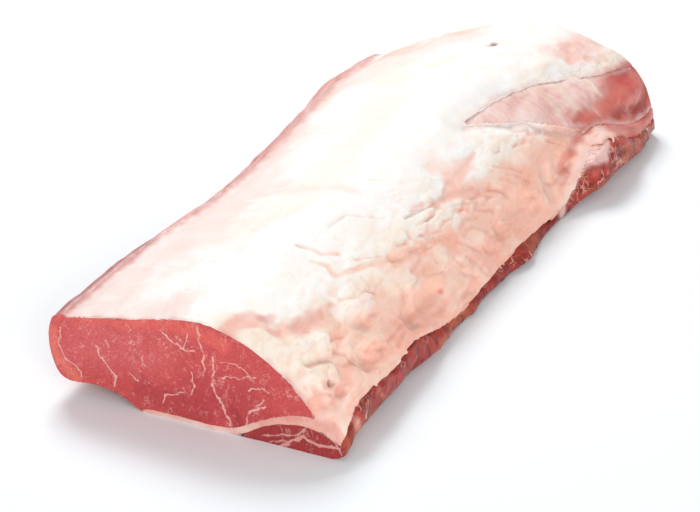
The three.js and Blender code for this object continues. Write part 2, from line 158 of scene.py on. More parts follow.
# Strokes of paint over the cover: paint, places along one, its reach and strength
COVER_STROKES = [
    (BLUSH, [(-205, 62, 46), (-129, 52, 49), (-55, 50, 49), (10, 58, 48)], 24, 0.75),
    (BLUSH, [(-205, 45, 49), (-192, 22, 54)], 22, 0.75),
    (PEACH, [(20, 68, 44), (49, 70, 43), (80, 66, 45)], 13, 0.65),
    (BLUSH, [(90, 62, 46), (130, 46, 50), (160, 26, 52)], 20, 0.7),
    (PEACH, [(120, 66, 42), (150, 44, 44), (176, 22, 48)], 9, 0.6),
    (BLUSH, [(-62, 38, 50), (-56, 20, 54), (-55, -7, 59)], 6, 0.6),
    (CORAL, [(-205, 75, 43), (-170, 74, 44), (-130, 71, 45)], 5, 0.8),
    (CREAM, [(-120, 30, 52), (-40, 10, 57), (60, 30, 55), (110, 40, 52)], 20, 0.45),
    (CREAM, [(-200, -20, 52), (-185, -45, 42), (-150, -42, 44)], 24, 0.8),
    (CREAM, [(-120, -40, 46), (-60, -44, 44), (0, -48, 42), (60, -50, 40)], 12, 0.6),
    (SALMON, [(-165, -64, 22), (-100, -66, 18), (-30, -68, 10), (40, -67, 14)], 34, 0.95),
    (PEACH, [(-150, -52, 36), (-80, -56, 32), (20, -58, 30), (66, -58, 32)], 18, 0.7),
    (ROSE, [(-120, -64, 20), (-60, -66, 16), (0, -66, 14)], 10, 0.35),
    (SALMON, [(30, -58, 34), (70, -56, 36), (90, -60, 30)], 12, 0.6),
    # These strokes follow the folds: the ROSE, SALMON, CORAL and WINE ones are painted shade in their
    # grooves and pit,
    # and the WHITE ones are painted highlights on the raised folds
    (ROSE, [(-198, -15, 56), (-192, -18, 56), (-184, -21, 55)], 8, 0.75),
    (CORAL, [(-182, -22, 54), (-179, -24, 53)], 4.5, 0.55),
    (ROSE, [(-185, -32, 50), (-174, -36, 47), (-162, -38, 46), (-148, -41, 44)], 8, 0.9),
    (WHITE, [(-184, -43, 45), (-176, -45, 43), (-168, -46, 41)], 6, 0.9),
    (WHITE, [(-146, -44, 42), (-135, -46, 42), (-122, -48, 40)], 6, 0.85),
    (SALMON, [(-161, -48, 39), (-149, -49, 38), (-136, -52, 37)], 5.5, 0.8),
    (BUTTER, [(-190, -48, 41), (-186, -53, 36), (-178, -56, 33)], 5, 0.6),
    (ROSE, [(-190, -50, 39), (-182, -51, 39), (-172, -53, 35)], 2.6, 0.7),
    (ROSE, [(-174, -56, 32), (-166, -57, 30), (-157, -58, 29)], 2.4, 0.6),
    (ROSE, [(-188, -60, 29), (-182, -62, 26)], 6, 0.8),
    (CORAL, [(-189, -57, 31), (-184, -59, 29)], 3.6, 0.7),
    (WINE, [(-187, -58, 30), (-185, -58, 30)], 1.8, 0.9),
    (ROSE, [(-196, -57, 32), (-197, -61, 26)], 3.5, 0.7),
    (BLUSH, [(-200, -64, 16), (-198, -70, 6)], 9, 0.9),
    # These strokes follow folds too: the SHADE, ROSE, SALMON and PEACH ones along grooves are painted shade,
    # and the CREAM dabs on raised folds are painted highlights
    (SHADE, [(-55, -36, 50), (-44, -38, 49), (-36, -40, 48), (-28, -40, 47)], 1.2, 0.8),
    (ROSE, [(-30, -40, 47), (-16, -41, 45), (-6, -44, 43), (7, -49, 41)], 3.6, 0.8),
    (SALMON, [(-85, -44, 44), (-64, -49, 40), (-43, -53, 36), (-23, -57, 31)], 5.5, 0.85),
    (PEACH, [(-98, -41, 46), (-80, -46, 43)], 4.5, 0.8),
    (CREAM, [(-52, -55, 33)], 6, 0.7),
    (CREAM, [(-29, -58, 29), (-14, -59, 28)], 6, 0.6),
    (CREAM, [(-102, -50, 38), (-85, -54, 34)], 7, 0.7),
    (CORAL, [(-68, -62, 22)], 2.6, 0.7),
    (ROSE, [(-99, -56, 31)], 5, 0.5),
    (ROSE, [(-115, -60, 27), (-104, -62, 22)], 6, 0.55),
    (SHADE, [(-107, -64, 21), (-99, -64, 20)], 1.5, 0.7),
    (SHADE, [(-52, -66, 13), (-38, -68, 9)], 1.5, 0.6),
    (SHADE, [(-23, -44, 43), (-13, -47, 41), (-1, -52, 38)], 1.6, 0.4),
    (PEACH, [(-116, -8, 57), (-114, -15, 56), (-115, -19, 55), (-108, -26, 53)], 2.2, 0.8),
    (PEACH, [(-124, -20, 55), (-122, -26, 53), (-126, -32, 51), (-112, -36, 49), (-101, -40, 47)], 2.4, 0.8),
    (SHADE, [(-117, -7, 57), (-115, -12, 56)], 1.5, 0.5),
    (SHADE, [(-92, -13, 58), (-77, -15, 57), (-64, -29, 52)], 1.4, 0.35),
    (SHADE, [(-40, -10, 59), (-38, -15, 58)], 1.4, 0.4),
    (CREAM, [(138, 4, 56), (150, -5, 56)], 5, 0.6),
    (CREAM, [(105, 20, 57), (120, 14, 57)], 8, 0.7),
    (ROSE, [(92, 70, 42), (128, 62, 42), (156, 46, 44)], 6, 0.5),
    # A dark dot of painted shade in the deep pit of the fold here
    (WINE, [(140, 3, 57), (142, 1, 57)], 3.0, 1.0),
    (BLUSH, [(160, -32, 50), (184, -36, 47)], 17, 0.9),
    (ROSE, [(166, -30, 51), (176, -34, 49)], 6, 0.55),
    (ROSE, [(184, -32, 48), (188, -40, 45)], 4, 0.5),
    (ROSE, [(168, -42, 46), (180, -48, 42)], 4, 0.5),
    (PEACH, [(96, -58, 36), (84, -62, 28), (74, -64, 18), (64, -66, 8)], 11, 0.85),
    (CORAL, [(126, -63, 31), (105, -63, 29), (89, -64, 24), (78, -67, 18)], 4.5, 0.8),
    (BLUSH, [(129, -69, 27), (108, -72, 25), (93, -71, 20), (80, -70, 11), (68, -70, 3)], 5, 0.9),
]

# Strokes of paint over the bare lean
LEAN_STROKES = [
    (SILVER, [(50, -24, 56), (78, -34, 53), (100, -42, 48), (122, -46, 45), (146, -46, 45)], 22, 1.0),
    (BLUSH, [(110, -38, 50), (140, -48, 44), (160, -52, 42)], 14, 0.7),
    (CORAL, [(166, -60, 36), (178, -58, 37), (196, -50, 40)], 12, 0.75),
    (CORAL, [(140, -64, 31), (160, -66, 30), (186, -66, 29)], 7, 0.85),
    (CORAL, [(118, -60, 33), (128, -62, 31)], 6, 0.7),
    (CREAM, [(88, -26, 56), (96, -34, 53), (100, -46, 46)], 3.6, 0.9),
    (CREAM, [(106, -30, 54), (112, -40, 49), (110, -50, 42)], 3.6, 0.9),
    (CREAM, [(124, -35, 51), (128, -44, 46), (124, -54, 38)], 3.6, 0.8),
    (CREAM, [(146, -40, 48), (151, -50, 42), (150, -57, 37)], 4.5, 0.8),
    (ROSE, [(93, -28, 55), (100, -38, 51), (103, -48, 45)], 2.2, 0.6),
    (ROSE, [(117, -32, 53), (120, -46, 45)], 2.2, 0.5),
    (ROSE, [(137, -38, 49), (140, -50, 42)], 2.6, 0.5),
    (CORAL, [(130, -70, 25), (148, -72, 22), (166, -74, 19), (186, -73, 18)], 9, 0.9),
    (BRICK, [(146, -69, 27), (158, -70, 26)], 4.0, 0.85),
    (BRICK, [(163, -73, 23), (176, -73, 21), (187, -71, 23)], 5.0, 0.85),
    (CREAM, [(124, -68, 28), (118, -72, 25), (112, -76, 22)], 4, 0.8),
    (CORAL, [(174, -58, 37), (196, -52, 39)], 8, 0.7),
    (MEAT, [(176, -62, 34), (190, -54, 38), (202, -34, 45)], 11, 0.7),
    (BRICK, [(184, -58, 36), (196, -54, 36)], 6, 0.5),
    (BRICK, [(-205, 76, 42), (-170, 76, 42), (-110, 72, 42)], 6, 0.7),
    (ROSE, [(-110, 72, 42), (-40, 70, 44)], 7, 0.6),
    (BLUSH, [(-40, 72, 44), (20, 76, 42), (70, 78, 42)], 9, 0.75),
    (ROSE, [(80, 78, 40), (120, 70, 38)], 9, 0.6),
    (MEAT, [(-190, 82, 20), (-110, 80, 16), (-20, 80, 18)], 12, 0.6),
    (ROSE, [(-150, 82, 30), (-90, 80, 32), (-10, 80, 26), (60, 82, 24)], 6, 0.5),
    (MEAT, [(30, 84, 12), (90, 82, 14), (122, 76, 14)], 12, 0.6),
]

# Strokes of paint over the side muscle
CHAIN_STROKES = [
    (CORAL, [(134, -73, 25), (160, -75, 22), (190, -75, 18)], 9, 0.85),
    (BRICK, [(163, -74, 23), (187, -74, 21)], 4.0, 0.6),
    (EMBER, [(150, -82, 8), (120, -82, 7), (92, -78, 6)], 5, 0.6),
    (BLUSH, [(119, -73, 26), (112, -77, 23), (106, -77, 22), (101, -75, 21)], 5, 0.85),
    (BLUSH, [(129, -69, 27), (108, -72, 25), (93, -71, 20), (80, -70, 11), (68, -70, 3)], 4.5, 0.9),
    (CORAL, [(124, -78, 24), (134, -80, 20), (154, -81, 14)], 4.5, 0.8),
    (CORAL, [(97, -77, 16), (104, -79, 17)], 3.5, 0.7),
    # Painted shade: WINE along the deepest grooves of the side folds
    (WINE, [(132, -82, 15), (127, -81, 16), (121, -80, 18)], 2.6, 0.9),
    (WINE, [(115, -81, 14), (109, -80, 14)], 2.8, 0.8),
    (CREAM, [(122, -68, 27), (134, -73, 24), (147, -75, 20), (164, -78, 15), (172, -79, 10)], 2.0, 0.9),
    (PEACH, [(-188, -71, 18), (-184, -73, 10), (-180, -74, 4)], 3.0, 0.6),
    (PEACH, [(-160, -72, 20), (-158, -74, 12), (-154, -74, 5)], 2.2, 0.7),
    (EMBER, [(-200, -72, 8), (-170, -74, 6), (-120, -72, 4)], 5, 0.5),
]

# Strokes of paint over the sliced face
FACE_STROKES = [
    (CHERRY, [(FACE, 62, 30), (FACE, 30, 34)], 22, 0.9),
    (CLARET, [(FACE, -2, 16), (FACE, -26, 24)], 17, 0.9),
    (GARNET, [(FACE, 30, 12), (FACE, 0, 6)], 10, 0.7),
    (RUBY, [(FACE, -30, 30), (FACE, -52, 18)], 11, 0.7),
    (SCARLET, [(FACE, 70, 43), (FACE, 8, 51), (FACE, -12, 46)], 5.5, 0.9),
    (TOMATO, [(FACE, 80, 34), (FACE, 79, 20), (FACE, 68, 9)], 4.5, 0.8),
    (MAROON, [(FACE, -18, 11), (FACE, -18, 5)], 4.5, 0.8),
]

# Veins of fat across the sliced face: half a vein's width and its (y, z) places
FACE_VEINS = [
    (0.15, [(75, 35.7), (76.6, 25.7), (73.1, 18.9), (65.7, 14.8), (64.2, 11.4)]),
    (0.20, [(56.4, 30), (52.4, 22.3), (46.2, 16.9), (46.5, 9.8)]),
    (0.20, [(20.4, 45), (14, 41.5), (9.5, 39.7), (3.3, 40.1)]),
    (0.10, [(7.2, 47.6), (9.5, 40.2)]),
    (0.20, [(2.5, 51.4), (-1.4, 38.1), (-1.1, 28.5)]),
    (0.20, [(-6.1, 39.2), (-6.2, 22.8), (-10.7, 14.3), (-14.2, 4.5)]),
    (0.25, [(-22, 4), (-23.7, 13.9), (-32.5, 19.8)]),
    (0.10, [(5.1, 28), (4.3, 21.3), (6, 16.6)]),
    (0.15, [(20.9, 8.6), (19.8, 12.6), (9.1, 16.3)]),
    (0.05, [(-9, 29.3), (-28.6, 33.7)]),
    (0.05, [(-9, 37.3), (-18.2, 38.1), (-27.3, 31.1)]),
    (0.10, [(-24.7, 26.6), (-31.3, 29.4), (-35.2, 27.7)]),
    (0.05, [(-32.6, 23.2), (-28, 18.1)]),
    (0.10, [(38.3, 19.5), (34.3, 16.5)]),
    (0.05, [(31.7, 30.2), (29.7, 25.4)]),
]

# Veins of the side muscle there
CHAIN_VEINS = [
    (0.55, [(-40.5, 0.5), (-51.9, 8.2), (-60, 5.5), (-69.2, 6.8)]),
    (0.15, [(-30.2, 2.7), (-48.8, 8.5), (-54.5, 13.7)]),
    (0.15, [(-34, 1), (-46, 4.2), (-52, 11)]),
    (0.20, [(-62, 12), (-68, 9), (-71, 3)]),
]
VEIN_EDGE = 0.5  # over how much a vein's edge fades
VEIN_WAVER = 4.5  # how far a vein strays, to both sides together

# The camera, at the photo's angle
AIM = (-67.59, -12.40, 30)  # what it looks at
DISTANCE = 1600
AZIMUTH, ELEVATION = -64.56, 27.66  # in degrees
FOCAL, PHOTO_WIDTH = 3247, 700  # in the photo's pixels
SENSOR = 36


# Making meshes

def only(piece):
    bpy.ops.object.select_all(action="DESELECT")
    piece.select_set(True)
    bpy.context.view_layer.objects.active = piece


def apply(piece, kind, **settings):
    """Adds a modifier and applies it."""
    only(piece)
    modifier = piece.modifiers.new(kind.title(), kind)
    for name, value in settings.items():
        setattr(modifier, name, value)
    bpy.ops.object.modifier_apply(modifier=modifier.name)


def read(collection, name):
    """Three numbers from each item of a mesh's collection, as an array's rows."""
    flat = np.empty(len(collection) * 3, np.float32)
    collection.foreach_get(name, flat)
    return flat.reshape(-1, 3).astype(float)


def places(piece):
    """The piece's points in millimetres."""
    return read(piece.data.vertices, "co") / MM


def put(piece, points):
    """Moves the piece's points to places in millimetres."""
    piece.data.vertices.foreach_set("co", (points * MM).astype(np.float32).ravel())
    piece.data.update()


def far_end(y):
    """Where the far end stands at a place across the loin."""
    across, stands = zip(*FAR_FACE)
    return np.polynomial.Polynomial.fit(across, stands, 6)(y)


def flesh(node, name, grain):
    """A body of the loin, rounded, remade as an even skin of small faces, and run on past both faces."""
    piece = bpy.data.objects.new(name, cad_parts[node].data.copy())
    piece.data.materials.clear()
    bpy.context.collection.objects.link(piece)
    only(piece)
    bpy.ops.object.mode_set(mode="EDIT")
    bpy.ops.mesh.select_mode(type="EDGE")
    bpy.ops.mesh.select_all(action="SELECT")
    bpy.ops.mesh.remove_doubles(threshold=MERGE * MM)
    bpy.ops.mesh.tris_convert_to_quads()
    bpy.ops.mesh.select_all(action="DESELECT")
    bpy.ops.mesh.edges_select_sharp(sharpness=math.radians(RIM))
    bpy.ops.transform.edge_crease(value=1)
    bpy.ops.object.mode_set(mode="OBJECT")
    points = places(piece)
    far = points[:, 0] > far_end(points[:, 1]) - 2
    points[points[:, 0] < FACE + 0.2, 0] -= EXTRA
    points[far, 0] += EXTRA
    put(piece, points)
    apply(piece, "SUBSURF", levels=2, render_levels=2)
    apply(piece, "REMESH", mode="VOXEL", voxel_size=grain * MM, use_smooth_shade=True)
    apply(piece, "SMOOTH", factor=0.5, iterations=3)
    return piece


def knife(name, depth, stand):
    """A block whose front is a fine sheet across the loin, standing at stand(points)."""
    bpy.ops.mesh.primitive_grid_add(x_subdivisions=150, y_subdivisions=65, size=1)
    block = bpy.context.object
    block.name = name
    block.scale = (BLADE[0] * MM, BLADE[1] * MM, 1)
    block.rotation_euler = (math.radians(90), 0, math.radians(90))
    block.location = (0, 0, BLADE_MIDDLE * MM)
    bpy.ops.object.transform_apply()
    points = places(block)
    points[:, 0] = stand(points)
    put(block, points)
    bpy.ops.object.mode_set(mode="EDIT")
    bpy.ops.mesh.select_all(action="SELECT")
    bpy.ops.mesh.extrude_region_move(TRANSFORM_OT_translate={"value": (depth * MM, 0, 0)})
    bpy.ops.mesh.select_all(action="SELECT")
    bpy.ops.mesh.normals_make_consistent(inside=False)
    bpy.ops.object.mode_set(mode="OBJECT")
    return block


def slice_ends(piece, knives):
    for block in knives:
        apply(piece, "BOOLEAN", operation="DIFFERENCE", object=block, solver="MANIFOLD")


# Shaping skins

def smooth(value, low, high):
    """Goes softly from 0 at low to 1 at high."""
    t = np.clip((value - low) / (high - low), 0, 1)
    return t * t * (3 - 2 * t)


def rolling(points, size, seed, stretch=1.0):
    """Smooth noise from -1 to 1 in swells about size across, drawn out along the loin by stretch."""
    table = np.random.default_rng(seed).uniform(-1, 1, 65536)
    place = points / (size * stretch, size, size)
    cell = np.floor(place).astype(np.int64)
    t = place - cell
    t = t * t * (3 - 2 * t)
    total = np.zeros(len(points))
    for corner in np.ndindex(2, 2, 2):
        key = (cell + corner) @ (73856093, 19349663, 83492791)
        total += np.prod(np.where(corner, t, 1 - t), axis=1) * table[key % len(table)]
    return total


def close_to(points, line, reach):
    """The numbers of the points in a box round a line of places, reach wider than it all round."""
    inside = (points > np.min(line, axis=0) - reach) & (points < np.max(line, axis=0) + reach)
    return np.flatnonzero(inside.all(axis=1))


def away(points, line):
    """Each point's distance from a line of places."""
    line = np.array(line, float)
    nearest = np.linalg.norm(points - line[0], axis=1)
    for start, end in zip(line[:-1], line[1:]):
        run = end - start
        share = np.clip((points - start) @ run / (run @ run), 0, 1)
        nearest = np.minimum(nearest, np.linalg.norm(points - start - share[:, None] * run, axis=1))
    return nearest


def outward(points, directions):
    """How much each point of a skin faces up or sideways from the inside of the loin, from 0 to 1."""
    rays = points[:, 1:] - CORE
    rays /= np.linalg.norm(rays, axis=1, keepdims=True)
    up = smooth(directions[:, 2], -0.7, -0.3)
    return up * smooth((rays * directions[:, 1:]).sum(axis=1), 0.0, 0.35)


def folded(points, folds):
    """The rise and fall of a skin along its folds, each with soft lips."""
    lift = np.zeros(len(points))
    for line, width, depth in folds:
        near = close_to(points, line, 4 * width)
        spots = points[near]
        off = away(spots, line) / width + 0.3 * rolling(spots, 5, 7)
        deep = depth * (0.8 + 0.5 * rolling(spots, 9, 6))
        lift[near] -= deep * (np.exp(-off ** 2) - 0.25 * np.exp(-(off - 2) ** 2))
    return lift


def short_creases(cover):
    """Short creases of the cover, strewn over its thin side and running nearly along the loin, as folds."""
    over = tree_of(cover)
    draw = np.random.default_rng(8)
    folds = []
    for _ in range(CREASES):
        x, y = draw.uniform(*CREASES_ALONG), draw.uniform(*CREASES_ACROSS)
        heading, length = draw.normal(-0.15, 0.25), draw.uniform(7, 20)
        run = length * np.array([math.cos(heading), math.sin(heading)])
        spots = [(x, y) + run * share + draw.normal(0, 0.6, 2) for share in (-0.5, 0.0, 0.5)]
        seats = [over.ray_cast(Vector((*spot, 90)), Vector((0, 0, -1)))[0] for spot in spots]
        width, depth = draw.uniform(0.8, 1.5), draw.uniform(0.3, 0.9)
        if None not in seats:
            folds.append(([tuple(seat) for seat in seats], width, depth))
    return folds


def swell(piece, lift):
    """Moves the points along their normals by lift, never under the surface that the loin lies on."""
    points = places(piece) + read(piece.data.vertices, "normal") * lift[:, None]
    points[:, 2] = np.maximum(points[:, 2], 0)
    put(piece, points)


def tree_of(piece):
    """A tree for looking up the nearest place of the piece's skin, in millimetres."""
    points = [Vector(p) for p in places(piece)]
    return BVHTree.FromPolygons(points, [list(p.vertices) for p in piece.data.polygons])


def feather(cover, lean):
    """Thins the cover to a film towards the lean that it leaves bare, and returns that lean's places."""
    under, over = tree_of(lean), tree_of(cover)
    above = [Vector(p) for p in places(lean) if p[2] > BARE_ABOVE]
    uncovered = [p for p in above if over.find_nearest(p, BARE_GAP)[0] is None]
    bare = KDTree(len(uncovered))
    for i, place in enumerate(uncovered):
        bare.insert(place, i)
    bare.balance()
    points = places(cover)
    facing = outward(points, read(cover.data.vertices, "normal"))
    for i in np.flatnonzero(facing > 0.2):
        place = Vector(points[i])
        gap = bare.find(place)[2]
        if gap > FEATHER:
            continue
        seat, _, _, thick = under.find_nearest(place)
        if thick > FILM:
            sink = (1 - smooth(gap, 1.5, FEATHER)) * (1 - FILM / thick) * facing[i]
            points[i] = place.lerp(seat, sink)
    put(cover, points)
    apply(cover, "SMOOTH", factor=0.5, iterations=3)
    return bare


def tuck(cover, muscle):
    """How far each point of the cover sinks, so that it ends in a lip where it runs out over the muscle."""
    under = tree_of(muscle)
    sink = np.zeros(len(cover.data.vertices))
    for i, p in enumerate(places(cover)):
        seat, normal, _, _ = under.find_nearest(Vector(p), 3)
        if seat is not None:
            sink[i] = LIP * (1 - smooth((Vector(p) - seat).dot(normal), 0.2, 2.4))
    return sink


def inside_of(trees, place):
    for tree in trees:
        seat, normal, _, _ = tree.find_nearest(place, NEIGHBOUR)
        if seat is not None and (place - seat).dot(normal) < -SUNK:
            return True
    return False


def thin_hidden(piece, others):
    """Gives the skin that lies inside a neighbour a few large faces."""
    trees = [tree_of(other) for other in others]
    hidden = [inside_of(trees, Vector(p)) for p in places(piece)]
    only(piece)
    bpy.ops.object.mode_set(mode="EDIT")
    bpy.ops.mesh.select_mode(type="VERT")
    bpy.ops.mesh.select_all(action="DESELECT")
    bpy.ops.object.mode_set(mode="OBJECT")
    piece.data.vertices.foreach_set("select", hidden)
    bpy.ops.object.mode_set(mode="EDIT")
    bpy.ops.mesh.decimate(ratio=HIDDEN_SHARE)
    bpy.ops.object.mode_set(mode="OBJECT")


# Painting skins

def painted(points, colours, strokes):
    """Colours with soft strokes laid over them, which stray at their edges and waver in strength."""
    for paint, line, reach, strength in strokes:
        near = close_to(points, line, 1.6 * reach)
        spots = points[near]
        stray = 0.35 * rolling(spots, 0.6 * reach + 2, 51) + 0.15 * rolling(spots, 3, 52)
        strong = strength * (0.85 + 0.15 * rolling(spots, 8, 53))
        share = (strong * (1 - smooth(away(spots, line) / reach + stray, 0.25, 1.05)))[:, None]
        colours[near] = colours[near] * (1 - share) + np.array(paint) * share
    return colours


def all_over(paint, points):
    """The same paint for each point."""
    return np.tile(np.array(paint), (len(points), 1))


def blended(one, other, share):
    """Colours that go from one to the other as share goes from 0 to 1."""
    return np.array(one) * (1 - share[:, None]) + np.array(other) * share[:, None]


def lay_coat(piece, colours, mask):
    """Keeps colours, and a mask from 0 to 1 as their alpha, on the piece's points."""
    layer = piece.data.color_attributes.new(name="coat", type="FLOAT_COLOR", domain="POINT")
    layer.data.foreach_set("color", np.column_stack([colours, mask]).astype(np.float32).ravel())


def sliced_faces(piece):
    """Which faces stand in one of the two cuts."""
    facets = read(piece.data.polygons, "normal")
    middles = read(piece.data.polygons, "center") / MM
    near = (facets[:, 0] < -0.8) & (middles[:, 0] < FACE + 3)
    far = (facets[:, 0] > 0.4) & (np.abs(middles[:, 0] - far_end(middles[:, 1])) < 2.5)
    return near | far


def points_of(piece, faces):
    """Which points of the piece are corners of the faces."""
    chosen = np.zeros(len(piece.data.vertices), bool)
    for i in np.flatnonzero(faces):
        chosen[list(piece.data.polygons[i].vertices)] = True
    return chosen


# Materials

class Value:
    """A socket of a finish's nodes, on which Python arithmetic builds Math nodes."""

    def __init__(self, finish, socket):
        self.finish = finish
        self.socket = socket

    def math(self, operation, *values):
        return self.finish.node("ShaderNodeMath", {"operation": operation}, dict(enumerate(values)))

    def __add__(self, other):
        return self.math("ADD", self, other)

    def __sub__(self, other):
        return self.math("SUBTRACT", self, other)

    def __rsub__(self, other):
        return self.math("SUBTRACT", other, self)

    def __mul__(self, other):
        return self.math("MULTIPLY", self, other)

    def __abs__(self):
        return self.math("ABSOLUTE", self)

    def least(self, other):
        return self.math("MINIMUM", self, other)

    def most(self, other):
        return self.math("MAXIMUM", self, other)

    __radd__ = __add__
    __rmul__ = __mul__


class Finish:
    """A material whose surface is one Principled shader."""

    def __init__(self, name, **constants):
        self.material = bpy.data.materials.new(name)
        self.material.use_nodes = True
        self.tree = self.material.node_tree
        self.shader = self.tree.nodes["Principled BSDF"]
        for socket, value in constants.items():
            self.shader.inputs[socket.replace("_", " ")].default_value = value
        self.place = self.node("ShaderNodeTexCoord", output="Object")

    def node(self, kind, settings=None, inputs=None, output=0):
        made = self.tree.nodes.new(kind)
        for name, value in (settings or {}).items():
            setattr(made, name, value)
        for name, value in (inputs or {}).items():
            if isinstance(value, Value):
                self.tree.links.new(value.socket, made.inputs[name])
            else:
                made.inputs[name].default_value = value
        return Value(self, made.outputs[output])

    def noise(self, size, detail=2.0, at=None, distortion=0.0, rough=0.5, output=0):
        """Noise from 0 to 1 in patches about size millimetres across."""
        inputs = {"Vector": at or self.place, "Scale": 1 / (size * MM), "Detail": detail}
        inputs.update({"Distortion": distortion, "Roughness": rough})
        return self.node("ShaderNodeTexNoise", inputs=inputs, output=output)

    def step(self, value, low, high):
        """Goes softly from 0 at low to 1 at high."""
        inputs = {"Value": value, "From Min": low, "From Max": high}
        return self.node("ShaderNodeMapRange", {"interpolation_type": "SMOOTHSTEP"}, inputs)

    def mix(self, factor, one, other, blend="MIX"):
        """Two colours mixed."""
        one, other = (c if isinstance(c, Value) else (*c, 1.0) for c in (one, other))
        settings = {"data_type": "RGBA", "blend_type": blend}
        return self.node("ShaderNodeMix", settings, {0: factor, 6: one, 7: other}, 2)

    def tinted(self, share, colour, tint):
        return self.mix(share, colour, tint, "MULTIPLY")

    def vector(self, operation, one, other, output=0):
        return self.node("ShaderNodeVectorMath", {"operation": operation}, {0: one, 1: other}, output)

    def coat(self, output="Color"):
        """The paint on the piece's points, or with Alpha the mask."""
        return self.node("ShaderNodeAttribute", {"attribute_name": "coat"}, output=output)

    def stretched(self, x, y, z):
        """The place with each direction scaled, so that a pattern is drawn out."""
        return self.vector("MULTIPLY", self.place, (x, y, z))

    def near_end(self):
        """One at the sliced face, and nothing at the far end."""
        along = self.node("ShaderNodeSeparateXYZ", inputs={0: self.place})
        return self.step(along, -150 * MM, -190 * MM)

    def bump(self, height, distance):
        inputs = {"Height": height, "Distance": distance * MM, "Strength": 1.0}
        return self.node("ShaderNodeBump", inputs=inputs)

    def veins(self, lines):
        """Wavering veins across a cut."""
        waver = self.vector("SUBTRACT", self.noise(3.5, detail=4, output="Color"), (0.5, 0.5, 0.5))
        place = self.vector("MULTIPLY", self.place, (0, 1 / MM, 1 / MM))
        place = self.vector("ADD", place, self.vector("MULTIPLY", waver, (0, VEIN_WAVER, VEIN_WAVER)))
        drawn = None
        for width, line in lines:
            for (y0, z0), (y1, z1) in zip(line, line[1:]):
                mark = self.vein(place, (y0, z0), (y1 - y0, z1 - z0), width)
                drawn = mark if drawn is None else drawn.most(mark)
        return drawn

    def vein(self, place, start, run, width):
        """One straight stretch of a vein, from its start along its run."""
        squared = run[0] ** 2 + run[1] ** 2
        out = self.vector("SUBTRACT", place, (0, *start))
        share = self.vector("DOT_PRODUCT", out, (0, run[0] / squared, run[1] / squared), "Value")
        share = share.most(0.0).least(1.0)
        seat = self.node("ShaderNodeVectorMath", {"operation": "SCALE"}, {0: (0, *run), "Scale": share})
        gap = self.vector("DISTANCE", out, seat, "Value")
        return 1 - self.step(gap, width, width + VEIN_EDGE)

    def flecks(self, size, thin, patch, low, high):
        """Short bright threads, in patches."""
        threads = self.noise(size, detail=3, distortion=1.3)
        here = self.step(self.noise(patch, detail=2), low, high)
        return (1 - self.step(abs(threads - 0.5), thin * 0.3, thin)) * here

    def connect(self, **values):
        """Feeds values to the shader, and returns the finished material."""
        for socket, value in values.items():
            self.tree.links.new(value.socket, self.shader.inputs[socket.replace("_", " ")])
        return self.material


def flesh_finish(name, glow):
    """A finish that lets a little light through."""
    soft = {"Subsurface_Weight": glow, "Subsurface_Radius": (1.0, 0.4, 0.25), "Subsurface_Scale": 2 * MM}
    return Finish(name, Specular_IOR_Level=0.35, **soft)


def fat_finish():
    """Smooth fat. The coat's mask says where it is lively."""
    finish = flesh_finish("fat", 0.2)
    lively = finish.coat("Alpha")
    drawn_out = finish.stretched(0.5, 1, 1)
    swells = finish.noise(9, detail=4, distortion=0.5, at=drawn_out)
    colour = finish.tinted(finish.step(swells, 0.45, 0.7) * 0.4, finish.coat(), YELLOWED)
    flush = finish.step(finish.noise(16, detail=5, distortion=1.0), 0.50, 0.70)
    colour = finish.tinted(flush * 0.5, colour, FLUSHED)
    # Fine creases, sunk by the bump and darkened with painted shade
    crease = abs(finish.noise(11, detail=3, distortion=0.7, at=drawn_out) - 0.5)
    where = finish.step(finish.noise(24, detail=1), 0.47, 0.62)
    line = (1 - finish.step(crease, 0.0, 0.012)) * where
    colour = finish.tinted(line * (0.25 + 0.3 * lively), colour, CREASE_SHADE)
    # Puckers, dented by the bump and darkened with painted shade
    puckers = finish.noise(3.2, detail=3, distortion=0.5, at=finish.stretched(0.4, 1, 1))
    colour = finish.tinted(finish.step(puckers, 0.5, 0.68) * lively * 0.5, colour, PUCKER_SHADE)
    height = finish.noise(1.2, detail=3) * 0.07 + swells * (0.25 + 0.9 * lively)
    height = height - puckers * lively * 0.9 - line * 0.12
    roughness = 0.36 + 0.25 * finish.noise(6, detail=2)
    return finish.connect(Base_Color=colour, Roughness=roughness, Normal=finish.bump(height, 0.5))


def lean_finish():
    """The uncut lean in its thin skin. The coat's mask says where the fibres run across."""
    finish = flesh_finish("lean", 0.15)
    across = finish.coat("Alpha")
    lengthwise = finish.noise(1.5, detail=3, at=finish.stretched(0.2, 1, 1))
    crosswise = finish.noise(1.9, detail=4, distortion=0.5, at=finish.stretched(1, 0.22, 0.3))
    fibre = lengthwise * (1 - across) + crosswise * across
    colour = finish.tinted(finish.step(fibre, 0.42, 0.72) * 0.65, finish.coat(), FIBROUS)
    blotch = finish.noise(13, detail=4, distortion=0.8, at=finish.stretched(0.45, 1, 1))
    colour = finish.tinted(finish.step(blotch, 0.42, 0.66) * 0.6, colour, BLOTCHED)
    pale = finish.noise(9, detail=4, distortion=1, at=finish.stretched(0.4, 1, 1))
    colour = finish.mix(finish.step(pale, 0.57, 0.7) * 0.4 * (1 - 0.6 * across), colour, SILVER)
    height = fibre + finish.noise(5, detail=3) * 1.2
    roughness = 0.26 + 0.2 * finish.noise(5)
    return finish.connect(Base_Color=colour, Roughness=roughness, Normal=finish.bump(height, 0.5))


